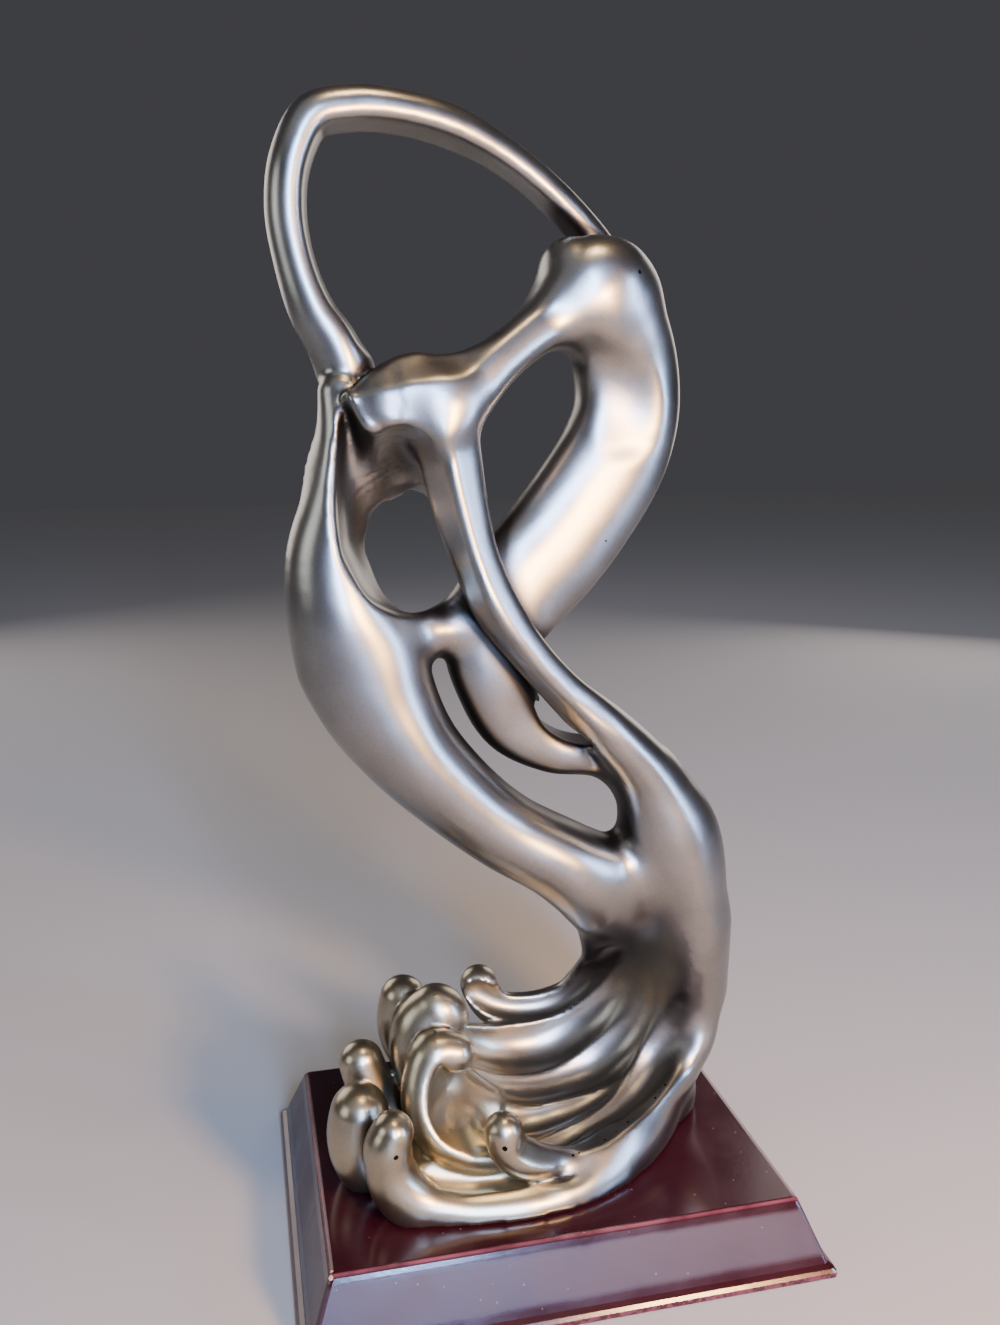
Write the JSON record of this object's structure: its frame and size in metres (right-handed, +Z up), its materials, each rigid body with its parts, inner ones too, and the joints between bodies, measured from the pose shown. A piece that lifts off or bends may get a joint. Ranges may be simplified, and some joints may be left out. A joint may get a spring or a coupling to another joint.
{
  "type": "mermaid statue",
  "caption": "Abstract mermaid statue of two leaning bodies rising from a curling wave, arm looped overhead, silver-finished cast figure on a low bevelled wooden plinth.",
  "frame": {"origin": "middle of the plinth's underside, on the surface the statue stands on", "axes": "+Z up; -Y is the front, the side the wave's scoop and the crossing arm face; +X is the trunk's side"},
  "size_m": [0.18, 0.143, 0.3877],
  "materials": {
    "plinth_lacquer": "gloss oxblood lacquer over wood-fibre board, edges rubbed lighter",
    "silvered_resin": "satin antique-silver metallic paint over cast resin"
  },
  "bodies": {
    "root": {"plinth": "plinth_lacquer", "figure": "silvered_resin"}
  },
  "joints": []
}
